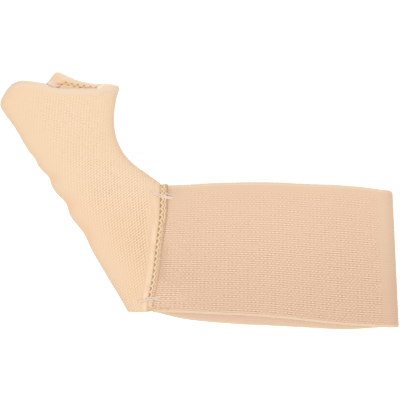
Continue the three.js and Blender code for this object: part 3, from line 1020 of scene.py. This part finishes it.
band_marks = {
    "edge_distance": np.minimum(ring_share, 1 - ring_share) * BAND_WIDTH,
    "flat": pulled_flat(ring_share),
    "inside": np.repeat([0.0, 1.0, 0.0], [LINES + 4, len(inner_share), 3]),
}
band = skin("band_cloth", rings, maps, elastic, band_marks, caps)
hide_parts("hand_loop")

# %% [markdown]
# # Threads
# Stitches are round threads that lie on the cloth and dip into it at both ends.
# A curve with a round bevel would do for one, but hundreds are quicker from arrays of points.
# A path of points gives each one, and a ring of points is set round every point of the path.
# All threads of one seam are wound off as one mesh, so that they stay together as a piece.

# %% Thread maker


class Spool:
    """Collects round threads, given by paths in millimetres, and winds them off as one piece."""

    def __init__(self):
        self.points, self.faces, self.corners, self.numbers, self.finishes = [], [], [], [], []

    def add(self, path, radius, finish, sides=8, thin_end=0.55):
        """A thread along a path, thinner at both ends and closed by a cap at each."""
        path = np.asarray(path, float)
        count = len(path)
        ahead = unit(np.gradient(path, axis=0))
        side = unit(np.cross(ahead, (0, 0, 1.0)))
        above = np.cross(side, ahead)
        run = run_along(path)
        from_end = np.minimum(run, run[-1] - run) / (3 * radius)
        width = radius * (thin_end + (1 - thin_end) * ease(from_end))
        turn = 2 * np.pi * np.arange(sides) / sides
        ring = side[:, None] * np.cos(turn)[None, :, None] + above[:, None] * np.sin(turn)[None, :, None]
        start = sum(len(p) for p in self.points)
        self.points.append((path[:, None] + ring * width[:, None, None]).reshape(-1, 3))
        if finish not in self.finishes:
            self.finishes.append(finish)
        number = self.finishes.index(finish)
        for i in range(count - 1):
            for k in range(sides):
                after = (k + 1) % sides
                low, high = start + i * sides, start + (i + 1) * sides
                self.faces.append([low + k, high + k, high + after, low + after])
                turns = [k / sides, k / sides, (k + 1) / sides, (k + 1) / sides]
                places = np.array([run[i], run[i + 1], run[i + 1], run[i]]) / MAP_MM
                self.corners.extend(zip(turns, places))
                self.numbers.append(number)
        last = start + (count - 1) * sides
        for cap in (list(range(start, start + sides)), list(range(last + sides - 1, last - 1, -1))):
            self.faces.append(cap)
            self.corners.extend([(0.0, 0.0)] * sides)
            self.numbers.append(number)

    def wind_off(self, name):
        """One piece of sewing thread from all that was added."""
        mesh = bpy.data.meshes.new(name)
        mesh.from_pydata(placed(np.concatenate(self.points)).tolist(), [], self.faces)
        uv = mesh.uv_layers.new(name="weave")
        uv.data.foreach_set("uv", np.array(self.corners, float).ravel())
        mesh.polygons.foreach_set("material_index", np.array(self.numbers))
        piece = finished(name, mesh, self.finishes)
        return piece


# %% [markdown]
# # The seam between sleeve and loop
# A flat overcast seam covers the raw edges: a row of slanting holes on the left, then wavy cream threads.
# At the top the threads cross like a plait, and lower down the second wave sinks into the tan edge.
# Bump alone could draw the stitches from above, but from the side only real threads stand up.
# The raw edges are one soft bead under the threads, with a lip that closes on to the band.

# %% Seam bead
STITCH_PITCH = 1.982
FIRST_HOLE = 7.67
FRONT_BEAD = [
    # distance from the seam line, height above the front cloth
    (0.1, -1.3), (-0.1, -0.9), (-0.08, -0.4), (0.2, -0.3), (0.6, -0.26), (1.1, -0.2), (1.6, -0.12),
    (1.95, -0.04), (2.2, -0.02), (2.4, -0.08), (2.55, -0.22), (2.35, -0.6), (2.25, -1.1), (2.0, -1.3),
]
BACK_BEAD_MIDDLE = (1.1, 0.82)
BACK_BEAD_RADII = (1.25, 0.5)
BACK_BEAD_TURNS = 2 * np.pi * np.arange(14) / 14
BACK_BEAD_ROUND = np.column_stack([-np.cos(BACK_BEAD_TURNS), np.sin(BACK_BEAD_TURNS)])
BACK_BEAD = BACK_BEAD_MIDDLE + BACK_BEAD_ROUND * BACK_BEAD_RADII
BEAD_TOP = 0.8
BEAD_FOOT = WRIST_FOOT - 0.4
BEAD_ROUNDING = 0.9
BEAD_END_ROWS = 6
BEAD_ROWS = 110
BEAD_END_SIZE = 0.15
NARROWING = 0.14
NARROW_FROM = 8.0
NARROW_OVER = 20.0


def seam_narrowing(down):
    """The seam is pulled narrower below its top."""
    return 1 - NARROWING * ease((np.asarray(down, float) - NARROW_FROM) / NARROW_OVER)


def seam_z(down):
    """Height of the front cloth along the seam."""
    share = 1 - np.asarray(down, float) / SEAM_LENGTH
    return FOLD_HEIGHT + (SEAM_HEIGHT - FOLD_HEIGHT) * crown(share, FRONT_CROWN)


def seam_bead(name, node, section, height):
    """The raw edges under the stitches, as a soft bead along the seam with rounded ends."""
    bends = (1 - np.cos(np.linspace(0, np.pi / 2, BEAD_END_ROWS))) * BEAD_ROUNDING
    even = np.linspace(BEAD_TOP + 1, BEAD_FOOT - 1, BEAD_ROWS)
    down = np.concatenate([BEAD_TOP + bends, even, (BEAD_FOOT - bends)[::-1]])
    end_share = np.minimum(np.minimum(down - BEAD_TOP, BEAD_FOOT - down) / BEAD_ROUNDING, 1)
    fullness = BEAD_END_SIZE + (1 - BEAD_END_SIZE) * np.sqrt(end_share * (2 - end_share))
    aside, lift = np.array(section, float).T
    plan = sewn_plan(down)[:, None] + sideways(aside * seam_narrowing(down)[:, None])
    z = height(down)[:, None] + lift.mean() + (lift - lift.mean()) * fullness[:, None]
    rings = np.concatenate([plan, z[..., None]], -1)
    maps = np.zeros((*rings.shape[:2], 2))
    marks = {"seam_across": aside, "seam_down": down[:, None]}
    bead = skin(name, rings, maps, seam_shade, marks, [list(range(len(section)))])
    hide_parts(node)
    return bead


front_bead = seam_bead("front_seam_bead", "front_seam", FRONT_BEAD, seam_z)
seam_bead("back_seam_bead", "back_seam", BACK_BEAD, np.zeros_like)

# %% Seam stitches
STITCH_LEAN = 0.28


def seam_thread(down, across, height):
    """Path beside the seam: slanting stitches lean up to the right."""
    leaned = down - STITCH_LEAN * (across - 1.0)
    return np.column_stack([sewn_plan(leaned) + sideways(across), height])


def waves(down):
    """Turns of the stitches along the seam, half a turn at each hole."""
    return 2 * np.pi * ((down - FIRST_HOLE) / STITCH_PITCH + 0.5)


THREAD_STEP = 0.13
FIRST_STITCH = 4.2
SECOND_WAVE_END = 14.6
LAST_STITCH = 38.4
SECOND_WAVE_LAG = 0.5
SECOND_WAVE_SINK = 0.55
FIRST_WAVE_RADIUS = 0.36
SECOND_WAVE_RADIUS = 0.3
SUNK_WAVE_RADIUS = 0.18

front_stitches = Spool()
down = np.arange(FIRST_STITCH, LAST_STITCH, THREAD_STEP)
swing = np.cos(waves(down))
across = (0.86 - 0.34 * swing) * seam_narrowing(down)
first_wave = seam_thread(down, across, seam_z(down) + 0.02 + 0.05 * swing)
front_stitches.add(first_wave, FIRST_WAVE_RADIUS, cream_thread)
down = np.arange(FIRST_STITCH - 0.6, SECOND_WAVE_END, THREAD_STEP)
swing = np.cos(waves(down) - SECOND_WAVE_LAG)
sunk = SECOND_WAVE_SINK * ease((down - SECOND_WAVE_END + 2) / 2)
second_wave = seam_thread(down, 1.76 - 0.17 * swing, seam_z(down) + 0.05 - sunk)
front_stitches.add(second_wave, SECOND_WAVE_RADIUS, cream_thread)
down = np.arange(SECOND_WAVE_END - 0.6, WRIST_FOOT - 1.2, THREAD_STEP)
swing = np.cos(waves(down) - SECOND_WAVE_LAG)
sunk_wave = seam_thread(down, 1.5 - 0.1 * swing, seam_z(down) - 0.12)
front_stitches.add(sunk_wave, SUNK_WAVE_RADIUS, cream_thread)
print("waves along", round(LAST_STITCH - FIRST_STITCH, 1), "mm of seam")

# %% Needle holes and the stitches between them
HOLE_DOWN = np.array([0.5, 0.17, -0.17, -0.5])
HOLE_ACROSS = np.array([0.1, 0.22, 0.34, 0.46])
HOLE_DEPTH = 0.16
HOLE_RADIUS = 0.24
BRIDGE_DOWN = np.array([0.3, 0.1, -0.1, -0.3])
BRIDGE_ACROSS = np.array([-0.4, -0.1, 0.25, 0.6])
BRIDGE_LIFT = np.array([-0.12, 0.1, 0.08, 0.0])
BRIDGE_RADIUS = 0.24
GAP_ACROSS = np.linspace(1.2, 1.42, 4)
GAP_RISE = 0.3
GAP_DEPTH = 0.02
GAP_RADIUS = 0.14

holes = np.arange(FIRST_HOLE - 2 * STITCH_PITCH, LAST_STITCH - 0.5, STITCH_PITCH)
for hole in holes:
    down = hole + HOLE_DOWN
    across = HOLE_ACROSS * seam_narrowing(down)
    front_stitches.add(seam_thread(down, across, seam_z(down) - HOLE_DEPTH), HOLE_RADIUS, needle_hole_shade)
    between = hole + STITCH_PITCH / 2 + BRIDGE_DOWN
    bridge = seam_thread(between, BRIDGE_ACROSS, seam_z(between) + BRIDGE_LIFT)
    front_stitches.add(bridge, BRIDGE_RADIUS, cream_thread)
    if hole < SECOND_WAVE_END:
        # Painted shade in the gaps between the two waves, as short brown dashes.
        gap = seam_thread(down - GAP_RISE, GAP_ACROSS, seam_z(down) - GAP_DEPTH)
        front_stitches.add(gap, GAP_RADIUS, needle_hole_shade)
print(len(holes), "needle holes")

# %% Overcast edge beside the band
OVERCAST_PITCH = 0.66
OVERCAST_INSET = 0.6
OVERCAST_ACROSS = np.array([1.8, 2.05, 2.3, 2.5, 2.6, 2.55])
OVERCAST_LIFT = np.array([-0.1, 0.02, 0.02, -0.08, -0.3, -0.55])
OVERCAST_RADIUS = 0.16

for place in np.arange(BEAD_TOP + OVERCAST_INSET, BEAD_FOOT - OVERCAST_INSET, OVERCAST_PITCH):
    across = OVERCAST_ACROSS * seam_narrowing(place)
    overcast = seam_thread(place + 0 * across, across, seam_z(place) + OVERCAST_LIFT)
    front_stitches.add(overcast, OVERCAST_RADIUS, tan_thread, sides=5)
print("overcast pitch", OVERCAST_PITCH, "mm")

# %% Plait at the top of the seam
PLAIT_STEP = 0.1
PLAIT_INSET = 0.3
PLAIT_END = 5.2
PLAIT_MIDDLE = 1.15
PLAIT_SWING = 0.74
PLAIT_RADIUS = 0.25
PLIES = 3

down = np.arange(BEAD_TOP + PLAIT_INSET, PLAIT_END, PLAIT_STEP)
for ply in range(PLIES):
    turns = 2 * np.pi * (down / (2 * STITCH_PITCH) + ply / PLIES)
    height = seam_z(down) + 0.12 + 0.16 * np.cos(2 * turns)
    plan = sewn_plan(down) + sideways(PLAIT_MIDDLE + PLAIT_SWING * np.sin(turns))
    front_stitches.add(np.column_stack([plan, height]), PLAIT_RADIUS, cream_thread)
print(PLIES, "plies down to", PLAIT_END, "mm")

# %% Wraps round both ends of the seam
WRAPS = 3
WRAP_PITCH = 0.55
WRAP_HALF_WIDTH = 1.25
WRAP_HALF_HEIGHT = 0.72
WRAP_DEPTH = 0.65
WRAP_SLOPE = 0.2
WRAP_RADIUS = 0.17

around = np.linspace(0, 2 * np.pi, 25)
for wrap in range(WRAPS):
    inset = PLAIT_INSET + wrap * WRAP_PITCH
    for down in (BEAD_TOP + inset, BEAD_FOOT - inset):
        across = (PLAIT_MIDDLE - WRAP_HALF_WIDTH * np.cos(around)) * seam_narrowing(down)
        height = seam_z(down) - WRAP_DEPTH + WRAP_HALF_HEIGHT * np.sin(around)
        loop = seam_thread(down + WRAP_SLOPE * np.sin(around), across, height)
        front_stitches.add(loop, WRAP_RADIUS, cream_thread, thin_end=1.0)
front_stitches.wind_off("front_seam_stitches")

# %% Stitches under the brace
BACK_INSET = 1.0
BACK_HEIGHT = 0.3
BACK_RADIUS = 0.28

back_stitches = Spool()
down = np.arange(BACK_INSET, WRIST_FOOT - BACK_INSET, THREAD_STEP)
swing = np.cos(waves(down))
for across in (0.85 - 0.35 * swing, 1.8 - 0.3 * swing):
    back_stitches.add(seam_thread(down, across, BACK_HEIGHT + 0 * down), BACK_RADIUS, cream_thread)
back_stitches.wind_off("back_seam_stitches")

# %% [markdown]
# # Bar tacks and loose ends
# Where the seam takes the strain, at the top and near the wrist, long strands are sewn across it.
# A Shrinkwrap modifier could lay them on the cloth, but they cross three pieces at once.
# So their plan is noted from above, and each point drops on to the cloth that lies below it.
# The ends dip into the knit, as sewn thread does.

# %% Dropping strands on to the cloth
ABOVE_CLOTH = 30.0
LOOK_ASIDE = 0.3
DIP_REACH = 0.7

depsgraph = bpy.context.evaluated_depsgraph_get()
cloth_trees = [BVHTree.FromObject(piece, depsgraph) for piece in (sleeve, band, front_bead)]


def cloth_height(x, y):
    """Height in millimetres of the cloth at a plan point, or close beside it where two edges meet."""
    asides = (-LOOK_ASIDE, 0.0, LOOK_ASIDE)
    starts = [Vector(placed((x + aside, y, ABOVE_CLOTH))) for aside in asides]
    hits = [tree.ray_cast(start, Vector((0, 0, -1)))[0] for tree in cloth_trees for start in starts]
    return max(hit.z for hit in hits if hit) / MM


def strand(plan, lift, dip, step=0.25):
    """A path over the cloth through plan points, dipping into it at both ends."""
    points = smooth_rows(plan, np.linspace(0, 1, int(run_along(plan)[-1] / step) + 2))
    run = run_along(points)
    height = np.array([cloth_height(x, y) for x, y in points])
    height = np.convolve(np.pad(height, 2, mode="edge"), np.ones(5) / 5, mode="valid")
    sink = dip * (1 - ease(np.minimum(run, run[-1] - run) / DIP_REACH))
    return np.column_stack([points, height + lift - sink])


# %% Strands across the seam
LONG_TACKS = [
    [(-16.9, 3.9), (-14.8, 2.75), (-12.9, 2.1), (-11.0, 1.5), (-8.6, 1.25)],
    [(-16.2, 3.0), (-14.4, 2.0), (-12.7, 1.4), (-10.9, 1.0), (-8.9, 0.75)],
    [(-21.4, -33.5), (-18.8, -32.9), (-15.8, -32.4), (-13.4, -32.6)],
]
SHORT_TACKS = [
    [(-12.2, 2.9), (-10.6, 2.3), (-9.2, 1.9)],
    [(-18.6, -32.2), (-16.2, -31.85), (-13.0, -32.1)],
]
MOUTH_TACKS = [
    [(-48.4, 39.9), (-47.6, 39.35), (-46.9, 38.8)],
    [(-47.9, 40.0), (-47.2, 39.5), (-46.6, 38.9)],
]
LOOSE_ENDS = [
    [(-13.8, -19.5), (-13.0, -19.35), (-12.2, -19.6)],
]
FOOT_EDGES = [
    [(-18.3, -35.8), (-16.9, -35.5), (-15.6, -35.85), (-14.2, -35.6), (-12.6, -35.9), (-10.4, -36.2)],
]
FOOT_BITS = [
    [(-17.9, -36.0), (-16.9, -36.2), (-15.9, -36.0)],
    [(-18.2, -35.2), (-17.5, -35.4), (-16.8, -35.1)],
    [(-15.8, -33.5), (-15.9, -34.4), (-15.7, -35.2)],
    [(-13.8, -35.3), (-13.0, -35.5), (-12.3, -35.2)],
    [(-11.8, -35.7), (-10.9, -35.5), (-10.1, -35.8)],
]
STRANDS = [
    # plans, lift off the cloth, dip at the ends, radius, thread
    (LONG_TACKS, 0.2, 0.7, 0.29, pale_thread),
    (SHORT_TACKS, 0.2, 0.7, 0.22, pale_thread),
    (MOUTH_TACKS, 0.14, 0.7, 0.24, pale_thread),
    (LOOSE_ENDS, 0.14, 0.2, 0.14, pale_thread),
    (FOOT_EDGES, 0.1, 0.3, 0.2, cream_thread),
    (FOOT_BITS, 0.05, 0.3, 0.1, tan_thread),
]

tacks = Spool()
for plans, lift, dip, radius, thread in STRANDS:
    for plan in plans:
        tacks.add(strand(plan, lift, dip), radius, thread)
tacks.wind_off("bar_tacks")

# %% [markdown]
# # Edge of the band
# Knitted elastic ends in a firm edge: one cream thread runs in small waves along both sides.
# A paler line in the finish could stand for it, but the edge would look cut instead of knitted.
# The thread follows the rows of the band, so it goes round the fold and back underneath.

# %% Edge threads
EDGE_WAVE = 2.6
EDGE_SWING = 0.012
EDGE_OUT = 0.3
EDGE_RADIUS = 0.22

edge_spool = Spool()
for edge, outwards in ((0, lower_way), (-1, upper_way)):
    out = EDGE_OUT + EDGE_SWING * np.cos(2 * np.pi * stations / EDGE_WAVE)
    line = outer[:, edge] + inwards[:, 0] * EDGE_RADIUS + outwards * out[:, None]
    edge_spool.add(line, EDGE_RADIUS, edge_thread, sides=6)
edge_line = edge_spool.wind_off("band_edge_threads")

# %% [markdown]
# # Hem of the mouth
# The mouth is turned in and sewn by a zigzag that shows on the inside of the raised back rim.
# It could be one stitch copied along a curve, but the rim bends, so each stitch has its own slope.
# The thread follows the inside of the tube at a depth that swings between two lines.
# A short brown dash of painted shade at each turn stands for the needle hole.

# %% Hem stitches
ZIGZAG_STEP = 1.2
ZIGZAG_SWING = 0.42
STEP_POINTS = 6
FRONT_HEM_DEPTH = 1.7
STEEPEST_HOLE = 0.3
HEM_ENDS = 0.05
HEM_RADIUS = 0.17
HEM_LIFT = 0.07
HEM_HOLE_RADIUS = 0.32
HEM_HOLE_LIFT = 0.06


def hem_place(share, front, swing):
    """Place along the inside of columns where the hem line passes, swung up or down."""
    scan = sleeve_points(NEAR_MOUTH[:, None], share, front, True)
    front_line = line_height(FRONT_RIM, scan[..., 0]) - FRONT_HEM_DEPTH
    line = front_line if front else line_height(HEM_LINE, scan[..., 0])
    return first_below(NEAR_MOUTH, scan[..., 1] - line - swing)


hem = Spool()
for front in (False, True):
    off_cloth = np.array([0, 0, -1.0 if front else 1.0])
    even = np.linspace(HEM_ENDS, 1 - HEM_ENDS, 80)
    middle = sleeve_points(hem_place(even, front, 0), even, front, True)
    turns = int(run_along(middle)[-1] / ZIGZAG_STEP)
    number = np.linspace(0, turns, turns * STEP_POINTS + 1)
    share = HEM_ENDS + (1 - 2 * HEM_ENDS) * number / turns
    zigzag = hem_place(share, front, ZIGZAG_SWING * np.cos(np.pi * number))
    line = sleeve_points(zigzag, share, front, True) + HEM_LIFT * off_cloth
    hem.add(line, HEM_RADIUS, cream_thread, sides=6)
    for k in range(STEP_POINTS, turns * STEP_POINTS - 1, STEP_POINTS):
        if abs(line[k + 1, 1] - line[k - 1, 1]) < STEEPEST_HOLE:
            hole = line[k - 1 : k + 2] + HEM_HOLE_LIFT * off_cloth
            hem.add(hole, HEM_HOLE_RADIUS, hem_hole_shade, sides=6)
hem_thread = hem.wind_off("hem_stitches")
